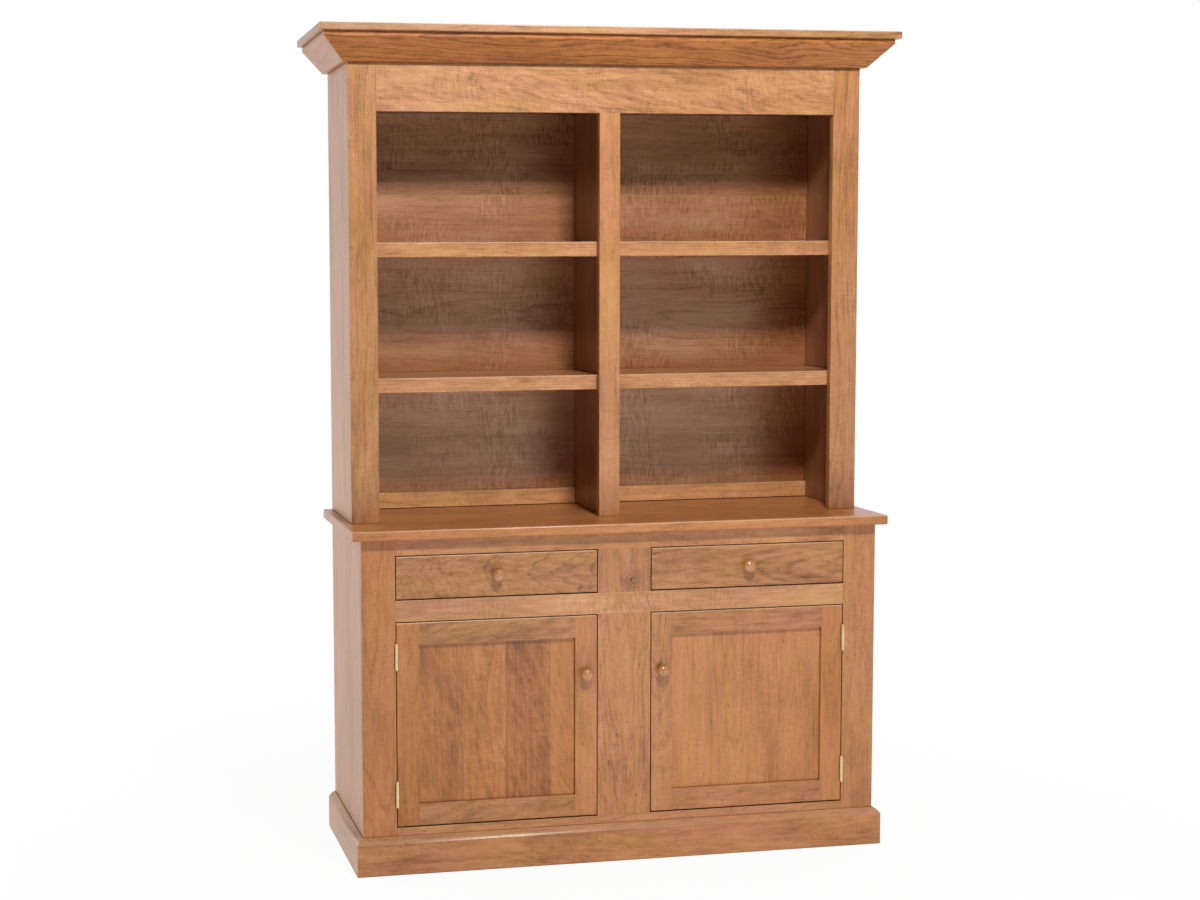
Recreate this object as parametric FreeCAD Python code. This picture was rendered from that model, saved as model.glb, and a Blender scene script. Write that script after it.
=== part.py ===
"""A cherry step back cupboard: a base with two drawers over two doors, and a shallower open hutch on its counter.

Millimetres, +X to the right, +Y to the back, +Z up. The pieces are drawn with Y at zero on the front of the
base's face frame, and the last section moves them so that the origin lies on the floor under the middle.
"""
import os
from math import asin, atan2, cos, pi, sin

import FreeCAD, Part

# Carcass
case_width = 1368.0
case_depth = 468.0
side_thick = 19.0
frame_thick = 22.0
back_thick = 12.0
back_recess = 14.0
back_groove = 6.0
dado_depth = 5.0
tenon_thick = 8.0
tenon_length = 28.0
tenon_shoulder = 6.0

# Base front, from the floor up
plinth_height = 96.0
bottom_rail_show = 21.0
door_opening_height = 527.0
middle_rail_height = 54.5
drawer_opening_height = 113.5
top_rail_height = 41.0
counter_thick = 25.0
counter_overhang = 24.0
counter_round = 4.0
bottom_rail_hidden = 39.0
base_stile_width = 87.0
mullion_width = 141.0

# Base inside
floor_thick = 19.0
partition_thick = 19.0
deck_thick = 16.0
deck_drop = 8.0
runner_ledge = 14.0
runner_guide_height = 40.0
runner_stop_height = 20.0
kicker_thick = 18.0
kicker_clearance = 2.0
slide_clearance = 0.3
guide_clearance = 0.5
stop_width = 40.0
stop_thick = 12.0
stop_lap = 12.0
stop_clearance = 0.3

# Plinth
plinth_thick = 18.0
plinth_bevel = 15.0
plinth_bevel_swell = 1.7

# Drawers
reveal = 2.5
drawer_front_thick = 20.0
drawer_rear_gap = 42.0
drawer_side_thick = 12.0
drawer_side_drop = 4.0
drawer_back_thick = 12.0
drawer_bottom_thick = 6.0
drawer_bottom_rise = 10.0
drawer_groove = 5.0
dovetail_count = 3
dovetail_pin_width = 14.0
dovetail_flare = 2.5
dovetail_lap = 7.0

# Doors
door_stile_width = 57.0
door_rail_height = 57.0
door_panel_thick = 8.0
door_panel_recess = 8.5
door_panel_groove = 10.0
door_panel_float = 1.0
door_knob_drop = 151.0

# Turned knobs
knob_diameter = 33.0
knob_reach = 28.0
knob_neck_diameter = 17.0
knob_rim_reach = 17.0
knob_rim_round = 5.0
knob_sides = 48
knob_cove_bands = 3
knob_rim_bands = 2
knob_dome_bands = 4
knob_tenon_diameter = 10.0
knob_tenon_length = 14.0

# Butt hinges
hinge_length = 63.5
hinge_inset = 85.0
hinge_leaf_thick = 2.0
hinge_leaf_width = 21.0
hinge_leaf_clearance = 0.4
knuckle_count = 3
knuckle_radius = 4.0
knuckle_clearance = 0.3
hinge_pin_radius = 1.6
hinge_pin_clearance = 0.05
hinge_tip_radius = 3.4
hinge_tip_length = 2.6

# Hutch
hutch_set_back = 135.0
lower_bay_height = 332.0
middle_bay_height = 308.5
upper_bay_height = 329.5
header_height = 191.0
hutch_stile_width = 72.5
hutch_centre_width = 55.0
divider_thick = 19.0
hutch_top_thick = 19.0
hutch_top_lift = 20.0
shelf_thick = 19.0
nosing_thick = 19.0
nosing_height = 38.0
back_rail_thick = 12.0
back_rail_height = 42.0
back_rail_gap = 1.5

# Crown
crown_height = 69.0
crown_foot = 14.0
crown_reach = 68.0
crown_lip = 12.0
crown_board_rise = 27.0
cap_thick = 19.0
cap_reach = 81.0
cap_round = 3.0

# Heights and places that follow from the sizes above
half_width = case_width / 2
inside_half = half_width - side_thick
door_opening_low = plinth_height + bottom_rail_show
door_opening_top = door_opening_low + door_opening_height
drawer_opening_low = door_opening_top + middle_rail_height
drawer_opening_top = drawer_opening_low + drawer_opening_height
base_height = drawer_opening_top + top_rail_height
counter_height = base_height + counter_thick
opening_outer = half_width - base_stile_width
opening_inner = mullion_width / 2
back_rear = case_depth - back_recess
back_front = back_rear - back_thick
drawer_depth = back_front - drawer_rear_gap
hutch_front = hutch_set_back
hutch_frame_rear = hutch_front + frame_thick
lower_shelf_top = counter_height + lower_bay_height + nosing_height
upper_shelf_top = lower_shelf_top + middle_bay_height + nosing_height
hutch_opening_top = upper_shelf_top + upper_bay_height
cap_low = hutch_opening_top + header_height
overall_height = cap_low + cap_thick
hutch_ceiling = hutch_opening_top + hutch_top_lift
door_thick = frame_thick - stop_clearance
front_reach = max(knob_reach, counter_overhang, plinth_thick)
origin_y = (case_depth - front_reach) / 2

nodes = {}


def point(x, y, z):
    return FreeCAD.Vector(x, y, z)


def board(x, y, z):
    """A rectangular board between the two places given for each direction."""
    return Part.makeBox(x[1] - x[0], y[1] - y[0], z[1] - z[0], point(x[0], y[0], z[0]))


def joined(*shapes):
    """One solid out of shapes that meet, without seams on its flat faces."""
    return shapes[0].multiFuse(list(shapes[1:])).removeSplitter()


def less(shape, *cutters):
    return shape.cut(list(cutters)).removeSplitter()


def mirrored(shape):
    """The same piece on the other side of the cupboard."""
    return shape.mirror(point(0, 0, 0), point(1, 0, 0))


def pair(shape):
    """A piece and its mirror image."""
    return [shape, mirrored(shape)]


def keep(name, *solids):
    """Stores a piece, or a group of like pieces, under its name."""
    nodes[name] = solids[0] if len(solids) == 1 else Part.makeCompound(list(solids))


def outline(paths, place):
    """A face bounded by paths of two points (a line) or three points (an arc), put in space by place."""
    edges = []
    for path in paths:
        spots = [place(*spot) for spot in path]
        if len(spots) == 2:
            edges.append(Part.makeLine(*spots))
        else:
            edges.append(Part.Arc(*spots).toShape())
    return Part.Face(Part.Wire(edges))


def ring(spots):
    """The straight paths that go round a list of corners."""
    return list(zip(spots, spots[1:] + spots[:1]))


def arc(centre, radius, start, end, bands):
    """Points along an arc about a centre, from one angle to another, with a straight band between each two."""
    turns = [start + (end - start) * i / bands for i in range(bands + 1)]
    return [(centre[0] + radius * cos(turn), centre[1] + radius * sin(turn)) for turn in turns]


def plan_prism(spots):
    """A prism as tall as the cupboard on corners given in plan."""
    face = outline(ring(spots), lambda x, y: point(x, y, 0))
    return face.extrude(point(0, 0, overall_height))


def mitred_run(paths, reach, front):
    """A moulding round the front and both ends of the case: its front and its right return, mitred together."""
    span = half_width + reach
    run = outline(paths, lambda out, up: point(-span, front - out, up)).extrude(point(2 * span, 0, 0))
    corner = (half_width, front)
    tip = (span, front - reach)
    across = plan_prism([(-corner[0], corner[1]), corner, tip, (-tip[0], tip[1])])
    end = outline(paths, lambda out, up: point(half_width + out, tip[1], up))
    end = end.extrude(point(0, case_depth - tip[1], 0))
    along = plan_prism([corner, tip, (span, case_depth), (half_width, case_depth)])
    return run.common(across), end.common(along)


def rail(x, y, z, tongue_y, tongue_z):
    """A horizontal member with a tenon at each end, and the tongue that the mortises are cut with."""
    tongue = board((x[0] - tenon_length, x[1] + tenon_length), tongue_y, tongue_z)
    return joined(board(x, y, z), tongue), tongue


def post(x, y, z, tongue_y, grow_low, grow_high):
    """An upright member with a tenon at its lower or upper end, and the tongue that the mortises are cut with."""
    tongue = board((x[0] + tenon_shoulder, x[1] - tenon_shoulder), tongue_y, (z[0] - grow_low, z[1] + grow_high))
    return joined(board(x, y, z), tongue), tongue


def shouldered(z):
    return z[0] + tenon_shoulder, z[1] - tenon_shoulder


def tenon_band(front):
    """Where tenons lie in the thickness of a face frame."""
    middle = front + frame_thick / 2
    return middle - tenon_thick / 2, middle + tenon_thick / 2


def base_frame(frame_leaves):
    """The base's face frame: two stiles, three rails and two short mullions."""
    y = (0, frame_thick)
    tongue_y = tenon_band(0)
    x = (-opening_outer, opening_outer)
    top_z = (drawer_opening_top, base_height)
    middle_z = (door_opening_top, drawer_opening_low)
    bottom_z = (plinth_height - bottom_rail_hidden, door_opening_low)
    centre_x = (-opening_inner, opening_inner)

    top, top_tongue = rail(x, y, top_z, tongue_y, shouldered(top_z))
    middle, middle_tongue = rail(x, y, middle_z, tongue_y, shouldered(middle_z))
    bottom, bottom_tongue = rail(x, y, bottom_z, tongue_y, shouldered(bottom_z))
    upper, upper_tongue = post(centre_x, y, (middle_z[1], top_z[0]), tongue_y, tenon_shoulder, tenon_shoulder)
    lower, lower_tongue = post(centre_x, y, (bottom_z[1], middle_z[0]), tongue_y, tenon_shoulder, tenon_shoulder)
    stile = board((-half_width, -opening_outer), y, (0, base_height))
    stile = less(stile, top_tongue, middle_tongue, bottom_tongue, *frame_leaves)

    keep("base_left_stile", stile)
    keep("base_right_stile", mirrored(stile))
    keep("base_top_rail", less(top, upper_tongue))
    keep("base_middle_rail", less(middle, upper_tongue, lower_tongue))
    keep("base_bottom_rail", less(bottom, lower_tongue))
    keep("drawer_mullion", upper)
    keep("door_mullion", lower)


def base_case():
    """Sides, floor, partition, back and the two decks under the drawers, housed in one another."""
    y = (frame_thick, back_front)
    housed = inside_half + dado_depth
    grooved = inside_half + back_groove
    deck_top = drawer_opening_low - deck_drop
    floor = board((-housed, housed), y, (door_opening_low - floor_thick, door_opening_low))
    back = board((-grooved, grooved), (back_front, back_rear), (door_opening_low - floor_thick, base_height))
    deck = board((-housed, dado_depth - partition_thick / 2), y, (deck_top - deck_thick, deck_top))
    partition = board((-partition_thick / 2, partition_thick / 2), y, (door_opening_low, base_height))
    side = board((-half_width, -inside_half), (frame_thick, case_depth), (0, base_height))
    side = less(side, floor, back, deck)

    keep("base_left_side", side)
    keep("base_right_side", mirrored(side))
    keep("base_partition", less(partition, *pair(deck)))
    keep("base_floor", floor)
    keep("base_back", back)
    keep("drawer_decks", *pair(deck))


def drawer_guides():
    """L-shaped runners with a stop at the back, kickers that hold the drawers down, and the doors' stop strips."""
    y = (frame_thick, back_front)
    deck_top = drawer_opening_low - deck_drop
    drawer_low = drawer_opening_low + reveal
    drawer_top = drawer_opening_top - reveal - drawer_side_drop
    ledge_top = drawer_low - slide_clearance
    guide_top = ledge_top + runner_guide_height
    kicker_low = drawer_top + kicker_clearance
    stop_y = (drawer_depth + slide_clearance, back_front)
    stop_z = (ledge_top, ledge_top + runner_stop_height)

    pieces = []
    for wall, opening, inward in (
        (-inside_half, -opening_outer, 1),
        (-partition_thick / 2, -opening_inner, -1),
    ):
        face = opening + inward * (reveal - guide_clearance)
        tip = face + inward * runner_ledge
        corners = [
            (wall, deck_top),
            (tip, deck_top),
            (tip, ledge_top),
            (face, ledge_top),
            (face, guide_top),
            (wall, guide_top),
        ]
        runner = outline(ring(corners), lambda x, z: point(x, y[0], z))
        runner = runner.extrude(point(0, y[1] - y[0], 0))
        pieces.append(joined(runner, board(sorted((face, tip)), stop_y, stop_z)))
        pieces.append(board(sorted((wall, tip)), y, (kicker_low, kicker_low + kicker_thick)))
    keep("drawer_runners", *pieces, *[mirrored(piece) for piece in pieces])

    strip_x = (-opening_inner - stop_lap, stop_width - opening_inner - stop_lap)
    strip_y = (frame_thick, frame_thick + stop_thick)
    strip_z = (door_opening_low, door_opening_top)
    keep("door_stops", *pair(board(strip_x, strip_y, strip_z)))


def rounded(shape, radius, wanted):
    """The shape with the edges that wanted accepts rounded over."""
    return shape.makeFillet(radius, [edge for edge in shape.Edges if wanted(edge.BoundBox)])


def counter():
    """The counter, rounded along its front and both ends and square at the wall."""
    span = half_width + counter_overhang
    top = board((-span, span), (-counter_overhang, case_depth), (base_height, counter_height))
    keep("counter_top", rounded(top, counter_round, lambda box: box.ZLength < counter_round and box.YMin < 0))


def plinth():
    """Three mitred boards whose top edge has a slightly swelling bevel."""
    low = plinth_height - plinth_bevel
    flat = plinth_thick - plinth_bevel
    swell = plinth_bevel / 2 + plinth_bevel_swell / 2 ** 0.5
    paths = [
        ((0, 0), (plinth_thick, 0)),
        ((plinth_thick, 0), (plinth_thick, low)),
        ((plinth_thick, low), (flat + swell, low + swell), (flat, plinth_height)),
        ((flat, plinth_height), (0, plinth_height)),
        ((0, plinth_height), (0, 0)),
    ]
    front, end = mitred_run(paths, plinth_thick, 0)
    keep("plinth_front", front)
    keep("plinth_returns", *pair(end))


def knob(x, z):
    """A turned knob with a coved neck, a domed face and a tenon that goes into the wood behind it."""
    tenon = knob_tenon_diameter / 2
    neck = knob_neck_diameter / 2
    rim = knob_diameter / 2
    cove = (knob_rim_reach ** 2 / (rim - neck) + rim - neck) / 2
    cove_start = asin(knob_rim_reach / cove)
    flare = arc((neck + cove, 0), cove, pi, pi - cove_start, knob_cove_bands)
    crown_rise = knob_reach - knob_rim_reach
    shoulder = (rim - knob_rim_round, knob_rim_reach)
    dome = (shoulder[0] ** 2 + crown_rise ** 2 - knob_rim_round ** 2) / (crown_rise - knob_rim_round) / 2
    dome_centre = (0, knob_reach - dome)
    meet = atan2(shoulder[1] - dome_centre[1], shoulder[0])
    rim_edge = arc(shoulder, knob_rim_round, 0, meet, knob_rim_bands)
    face_edge = arc(dome_centre, dome, meet, pi / 2, knob_dome_bands)

    turns = [2 * pi * i / knob_sides for i in range(knob_sides)]
    hoops = []
    for radius, out in flare[:-1] + rim_edge[:-1] + face_edge[:-1]:
        hoops.append([(x + radius * cos(turn), -out, z + radius * sin(turn)) for turn in turns])
    tip = (x, -knob_reach, z)
    facets = [outline(ring(hoops[0]), point)]
    for i in range(knob_sides):
        for low, high in zip(hoops, hoops[1:]):
            facets.append(outline(ring([low[i - 1], low[i], high[i], high[i - 1]]), point))
        facets.append(outline(ring([hoops[-1][i - 1], hoops[-1][i], tip]), point))
    head = Part.Solid(Part.Shell(facets))
    spindle = Part.makeCylinder(tenon, knob_tenon_length, point(x, 0, z), point(0, 1, 0))
    return joined(head, spindle)


def dovetails(x, root, end, z):
    """Tails that grow from root to end along the depth and widen as they go."""
    pitch = (z[1] - z[0]) / dovetail_count
    narrow = (pitch - dovetail_pin_width) / 2
    wide = narrow + dovetail_flare
    tails = []
    for i in range(dovetail_count):
        middle = z[0] + pitch * (i + 0.5)
        corners = [(root, middle - narrow), (root, middle + narrow), (end, middle + wide), (end, middle - wide)]
        face = outline(ring(corners), lambda depth, up: point(x[0], depth, up))
        tails.append(face.extrude(point(x[1] - x[0], 0, 0)))
    return tails


def drawers():
    """Dovetailed drawers: lapped tails at the front, through tails at the back, the bottom slid into grooves."""
    x = (-opening_outer + reveal, -opening_inner - reveal)
    z = (drawer_opening_low + reveal, drawer_opening_top - reveal)
    side_z = (z[0], z[1] - drawer_side_drop)
    bottom_z = (z[0] + drawer_bottom_rise, z[0] + drawer_bottom_rise + drawer_bottom_thick)
    back_z = (bottom_z[1], side_z[1])
    back_y = (drawer_depth - drawer_back_thick, drawer_depth)
    inside = (x[0] + drawer_side_thick, x[1] - drawer_side_thick)
    bottom = board(
        (inside[0] - drawer_groove, inside[1] + drawer_groove),
        (drawer_front_thick - drawer_groove, drawer_depth),
        bottom_z,
    )

    sides = []
    tails = []
    for side_x in ((x[0], inside[0]), (inside[1], x[1])):
        front_tails = dovetails(side_x, drawer_front_thick, dovetail_lap, side_z)
        back_tails = dovetails(side_x, back_y[0], back_y[1], back_z)
        plank = board(side_x, (drawer_front_thick, back_y[0]), side_z)
        heel = board(side_x, back_y, (side_z[0], back_z[0]))
        sides.append(less(joined(plank, heel, *front_tails, *back_tails), bottom))
        tails += front_tails + back_tails

    pull = knob((x[0] + x[1]) / 2, (z[0] + z[1]) / 2)
    pieces = {
        "front": less(board(x, (0, drawer_front_thick), z), bottom, pull, *tails),
        "sides": Part.makeCompound(sides),
        "back": less(board(x, back_y, back_z), *tails),
        "bottom": bottom,
        "knob": pull,
    }
    for name, piece in pieces.items():
        keep("left_drawer_" + name, piece)
        keep("right_drawer_" + name, mirrored(piece))


def hinge(low):
    """One butt hinge of the left door: its frame leaf, its door leaf and its pin."""
    axis_x = -opening_outer + reveal / 2
    axis_y = -knuckle_radius - knuckle_clearance
    pitch = hinge_length / knuckle_count
    plate_y = (axis_y + knuckle_radius + hinge_leaf_clearance, axis_y + hinge_leaf_width)
    plate_z = (low, low + hinge_length)
    bore = Part.makeCylinder(hinge_pin_radius + hinge_pin_clearance, hinge_length, point(axis_x, axis_y, low))

    leaves = []
    for turn, hand in enumerate((-1, 1)):
        inner = axis_x + hand * hinge_leaf_clearance / 2
        leaf_x = sorted((inner, inner + hand * hinge_leaf_thick))
        shapes = [board(leaf_x, plate_y, plate_z)]
        for i in range(turn, knuckle_count, 2):
            foot = low + i * pitch + (knuckle_clearance / 2 if i > 0 else 0)
            head = low + (i + 1) * pitch - (knuckle_clearance / 2 if i < knuckle_count - 1 else 0)
            shapes.append(Part.makeCylinder(knuckle_radius, head - foot, point(axis_x, axis_y, foot)))
            shapes.append(board(leaf_x, (axis_y, plate_y[0]), (foot, head)))
        leaves.append(less(joined(*shapes), bore))

    high = low + hinge_length
    pin = joined(
        Part.makeCylinder(hinge_pin_radius, hinge_length, point(axis_x, axis_y, low)),
        Part.makeCylinder(hinge_tip_radius, hinge_tip_length, point(axis_x, axis_y, low - hinge_tip_length)),
        Part.makeCylinder(hinge_tip_radius, hinge_tip_length, point(axis_x, axis_y, high)),
    )
    return leaves[0], leaves[1], pin


def hinges():
    """The two hinges of the left door and their mirror images; returns the left frame and door leaves."""
    door_z = (door_opening_low + reveal, door_opening_top - reveal)
    lows = (door_z[0] + hinge_inset - hinge_length / 2, door_z[1] - hinge_inset - hinge_length / 2)
    sets = [hinge(low) for low in lows]
    frame_leaves, door_leaves, pins = [list(group) for group in zip(*sets)]
    keep("hinge_frame_leaves", *frame_leaves, *[mirrored(leaf) for leaf in frame_leaves])
    keep("hinge_pins", *pins, *[mirrored(pin) for pin in pins])
    keep("left_door_hinge_leaves", *door_leaves)
    keep("right_door_hinge_leaves", *[mirrored(leaf) for leaf in door_leaves])
    return frame_leaves, door_leaves


def doors(door_leaves):
    """Frame and panel doors: tenoned rails, a flat panel loose in grooves, a knob on the meeting stile."""
    x = (-opening_outer + reveal, -opening_inner - reveal)
    y = (0, door_thick)
    z = (door_opening_low + reveal, door_opening_top - reveal)
    panel_y = (door_panel_recess, door_panel_recess + door_panel_thick)
    rail_x = (x[0] + door_stile_width, x[1] - door_stile_width)
    low_z = (z[0], z[0] + door_rail_height)
    high_z = (z[1] - door_rail_height, z[1])
    low_tongue_z = (low_z[0] + tenon_shoulder, low_z[1] - door_panel_groove)
    high_tongue_z = (high_z[0] + door_panel_groove, high_z[1] - tenon_shoulder)
    low, low_tongue = rail(rail_x, y, low_z, panel_y, low_tongue_z)
    high, high_tongue = rail(rail_x, y, high_z, panel_y, high_tongue_z)

    groove = board(
        (rail_x[0] - door_panel_groove, rail_x[1] + door_panel_groove),
        panel_y,
        (low_z[1] - door_panel_groove, high_z[0] + door_panel_groove),
    )
    tuck = door_panel_groove - door_panel_float
    panel = board((rail_x[0] - tuck, rail_x[1] + tuck), panel_y, (low_z[1] - tuck, high_z[0] + tuck))
    pull = knob(x[1] - door_stile_width / 2, z[1] - door_knob_drop)

    hinge_stile = less(board((x[0], rail_x[0]), y, z), groove, low_tongue, high_tongue, *door_leaves)
    meeting_stile = less(board((rail_x[1], x[1]), y, z), groove, low_tongue, high_tongue, pull)
    pieces = {
        "hinge_stile": hinge_stile,
        "meeting_stile": meeting_stile,
        "rails": Part.makeCompound([less(low, groove), less(high, groove)]),
        "panel": panel,
        "knob": pull,
    }
    for name, piece in pieces.items():
        keep("left_door_" + name, piece)
        keep("right_door_" + name, mirrored(piece))


def hutch_case():
    """Sides, divider, top, back and the four shelves with their deeper front edges."""
    y = (hutch_frame_rear, back_front)
    housed = inside_half + dado_depth
    grooved = inside_half + back_groove
    top = board((-housed, housed), y, (hutch_ceiling, hutch_ceiling + hutch_top_thick))
    back_z = (counter_height, hutch_ceiling + hutch_top_thick)
    back = board((-grooved, grooved), (back_front, back_rear), back_z)
    divider_x = (-divider_thick / 2, divider_thick / 2)
    nosing_y = (hutch_frame_rear, hutch_frame_rear + nosing_thick)

    shelves = []
    nosings = []
    for shelf_top in (lower_shelf_top, upper_shelf_top):
        shelf_x = (-housed, divider_x[0] + dado_depth)
        shelves.append(board(shelf_x, (nosing_y[1], y[1]), (shelf_top - shelf_thick, shelf_top)))
        nosing_x = (-inside_half, divider_x[0])
        nosings.append(board(nosing_x, nosing_y, (shelf_top - nosing_height, shelf_top)))
    all_shelves = shelves + [mirrored(shelf) for shelf in shelves]

    side = board((-half_width, -inside_half), (hutch_frame_rear, case_depth), (counter_height, cap_low))
    side = less(side, back, top, *shelves)
    keep("hutch_left_side", side)
    keep("hutch_right_side", mirrored(side))
    keep("hutch_divider", less(board(divider_x, y, (counter_height, hutch_ceiling)), *all_shelves))
    keep("hutch_top", top)
    keep("hutch_back", back)
    keep("hutch_shelves", *all_shelves)
    keep("shelf_nosings", *nosings, *[mirrored(nosing) for nosing in nosings])

    rail_low = counter_height + back_rail_gap
    rail_x = (-inside_half, divider_x[0])
    back_rail = board(rail_x, (back_front - back_rail_thick, back_front), (rail_low, rail_low + back_rail_height))
    keep("hutch_back_rails", *pair(back_rail))


def hutch_frame():
    """The hutch's face frame: two stiles, a deep header and a centre stile, standing on the counter."""
    y = (hutch_front, hutch_frame_rear)
    tongue_y = tenon_band(hutch_front)
    inner = half_width - hutch_stile_width
    header_z = (hutch_opening_top, cap_low)
    header, header_tongue = rail((-inner, inner), y, header_z, tongue_y, shouldered(header_z))
    centre_x = (-hutch_centre_width / 2, hutch_centre_width / 2)
    centre_z = (counter_height, hutch_opening_top)
    centre, centre_tongue = post(centre_x, y, centre_z, tongue_y, 0, tenon_length)
    stile = less(board((-half_width, -inner), y, (counter_height, cap_low)), header_tongue)
    keep("hutch_left_stile", stile)
    keep("hutch_right_stile", mirrored(stile))
    keep("hutch_header", less(header, centre_tongue))
    keep("hutch_centre_stile", centre)


def crown():
    """A flat board sprung at an angle between the case and the cap, mitred round the front and both ends."""
    foot_z = cap_low - crown_height
    lip_z = cap_low - crown_lip
    slope = (crown_reach - crown_foot) / (lip_z - foot_z)
    back_z = foot_z - crown_foot / slope + crown_board_rise
    back_top = (cap_low - back_z) * slope
    corners = [
        (0, foot_z),
        (crown_foot, foot_z),
        (crown_reach, lip_z),
        (crown_reach, cap_low),
        (back_top, cap_low),
        (0, back_z),
    ]
    front, end = mitred_run(ring(corners), crown_reach, hutch_front)
    keep("crown_front", front)
    keep("crown_returns", *pair(end))

    span = half_width + cap_reach
    cap = board((-span, span), (hutch_front - cap_reach, case_depth), (cap_low, overall_height))
    keep("crown_cap", rounded(cap, cap_round, lambda box: box.ZLength < cap_round and box.YMin < hutch_front))


base_case()
drawer_guides()
left_frame_leaves, left_door_leaves = hinges()
base_frame(left_frame_leaves)
doors(left_door_leaves)
drawers()
counter()
plinth()
hutch_case()
hutch_frame()
crown()

# Put the origin on the floor under the middle of the cupboard, and write one file for each piece
os.makedirs("parts", exist_ok=True)
for name, shape in nodes.items():
    shape.translate(point(0, -origin_y, 0))
    shape.exportStep("parts/" + name + ".step")
print(len(nodes), "pieces")
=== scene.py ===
"""Looks of a step back cupboard: oiled cherry board by board, turned knobs, brass hinges, a pale studio."""

from math import asin, atan2, cos, pi, radians, sin
from types import SimpleNamespace

import bmesh
import bpy
from mathutils import Color, Matrix, Vector


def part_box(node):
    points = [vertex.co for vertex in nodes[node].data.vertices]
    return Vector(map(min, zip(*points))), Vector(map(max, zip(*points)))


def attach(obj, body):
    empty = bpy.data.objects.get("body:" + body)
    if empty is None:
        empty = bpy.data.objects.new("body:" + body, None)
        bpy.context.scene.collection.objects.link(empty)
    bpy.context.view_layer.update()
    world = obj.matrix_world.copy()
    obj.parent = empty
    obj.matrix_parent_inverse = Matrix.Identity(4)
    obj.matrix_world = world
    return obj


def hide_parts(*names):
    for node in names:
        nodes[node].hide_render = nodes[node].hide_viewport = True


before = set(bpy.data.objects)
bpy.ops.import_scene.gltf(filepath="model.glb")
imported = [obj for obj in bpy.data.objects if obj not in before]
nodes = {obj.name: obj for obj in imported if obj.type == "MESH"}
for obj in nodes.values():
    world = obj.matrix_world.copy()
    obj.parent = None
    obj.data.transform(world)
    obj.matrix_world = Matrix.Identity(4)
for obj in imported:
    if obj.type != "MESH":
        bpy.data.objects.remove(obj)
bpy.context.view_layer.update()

# Axes that boards lie along
X, Y, Z = range(3)

# Camera, in metres and millimetres of lens
camera_place = (-1.4745, -5.0284, 1.5290)
camera_aim = (-0.5355, -0.2200, 1.0931)
camera_roll_degrees = -0.40
lens_length = 59.15
sensor_width = 36.0
frame_shift_shares = (0.1514, -0.0053)

# Lamps, in metres and watts
key_place = (0.00, -2.05, 3.09)
key_aim = (0.0, -0.10, 1.10)
key_size = (0.45, 0.30)
key_power = 60.0
fill_place = (1.30, -4.60, 0.65)
fill_aim = (0.0, 0.2, 1.0)
fill_size = (2.2, 1.1)
fill_power = 16.0
bounce_place = (0.05, -1.35, 0.25)
bounce_aim = (0.0, -0.22, 0.50)
bounce_size = (1.6, 0.3)
bounce_power = 3.9
side_lamp_place = (2.6, 1.7, 1.3)
side_lamp_aim = (0.68, 0.0, 1.1)
side_lamp_size = (1.4, 2.2)
side_lamp_power = 28.0

# Room: shares of white at its front and back, and how far back it starts to brighten
white = (1.0, 1.0, 1.0)
room_light_shares = (0.02, 0.95)
room_shine_shares = (0.03, 1.0)
room_turn_share = -0.30

# Floor, in metres: the camera sees shares of white, which grow with the distance, over its own clouded grey
floor_span = 40.0
floor_fade = (0.9, 2.6)
floor_white_shares = (0.94, 1.0)
floor_grey_shares = (0.85, 0.87)
floor_grey_fade_shares = (0.3, 0.7)
floor_cloud_size = (0.5, 0.5, 0.5)
floor_roughness = 0.9

# Softened edges of boards, in metres; boards whose names end in one of front_boards have their own
board_ease = 0.0007
bold_eases = {"counter_top": 0.004, "shelf_nosings": 0.0022, "crown_cap": 0.002, "plinth_front": 0.0022}
ease_steps = 2
front_boards = ("drawer_front", "door_rails", "door_hinge_stile", "door_meeting_stile")
front_ease = 0.0030
front_ease_steps = 4
weld_gap = 0.00002
sharp_degrees = 35.0
flat_degrees = 0.5

# Cherry, from the darkest late wood to the palest early wood, in screen values
cherry_dark = (122, 74, 38)
cherry_mid = (196, 132, 83)
cherry_pale = (224, 166, 116)
# The pale wood of the hutch's back, greyed as a painted sheen
cherry_sheen_grey = (212, 176, 142)
fleck_colour = (96, 53, 30)
screen_white = 255

# The pale second wood of drawer boxes and cupboard insides
inside_dark = (176, 130, 82)
inside_mid = (216, 178, 128)
inside_pale = (232, 202, 156)

# Tints: multiples of red, green and blue
plain = (1.0, 1.0, 1.0)
brown = (0.93, 0.92, 0.92)
pale = (1.04, 1.10, 1.16)
orange = (0.98, 0.90, 0.74)
rust = (0.90, 0.74, 0.46)
russet = (0.94, 0.85, 0.60)
# Whitens the crown's cap as a painted sheen
cap_sheen_rose = (0.94, 1.10, 1.30)
amber = (1.00, 0.96, 0.84)
olive = (0.85, 0.86, 0.79)
# Browns the drawer mullion, and darkens the hutch's shelves as painted shade, so less light bounces into
# the bays
umber_and_shade = (0.86, 0.86, 0.85)
# Darkens the hutch's back as painted shade inside the bays
back_shade_dusk = (0.71, 0.66, 0.60)
shaded = (0.62, 0.61, 0.60)
# Darkens the hutch's top as painted shade, so less light bounces into the bays
deep_shade = (0.46, 0.40, 0.36)
blond = (0.97, 1.05, 1.10)
# Whitens the header as a painted sheen
header_sheen_milky = (1.00, 1.12, 1.26)
# Paler shelf nosings and middle rail, whitened partly as a painted sheen
pale_with_sheen = (1.08, 1.20, 1.32)
# Paints light on the hutch's back rails
rail_light_cream = (1.44, 1.76, 1.95)

# Tints of greener and rosier areas, of painted shade on the hutch's inner faces, and of the shine of its
# back
olive_area = (0.96, 1.00, 0.82)
rosy_area = (1.04, 1.00, 1.15)
inner_shade_tint = (0.68, 0.73, 0.80)
back_shine_tint = (1.0, 0.70, 0.51)

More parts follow.
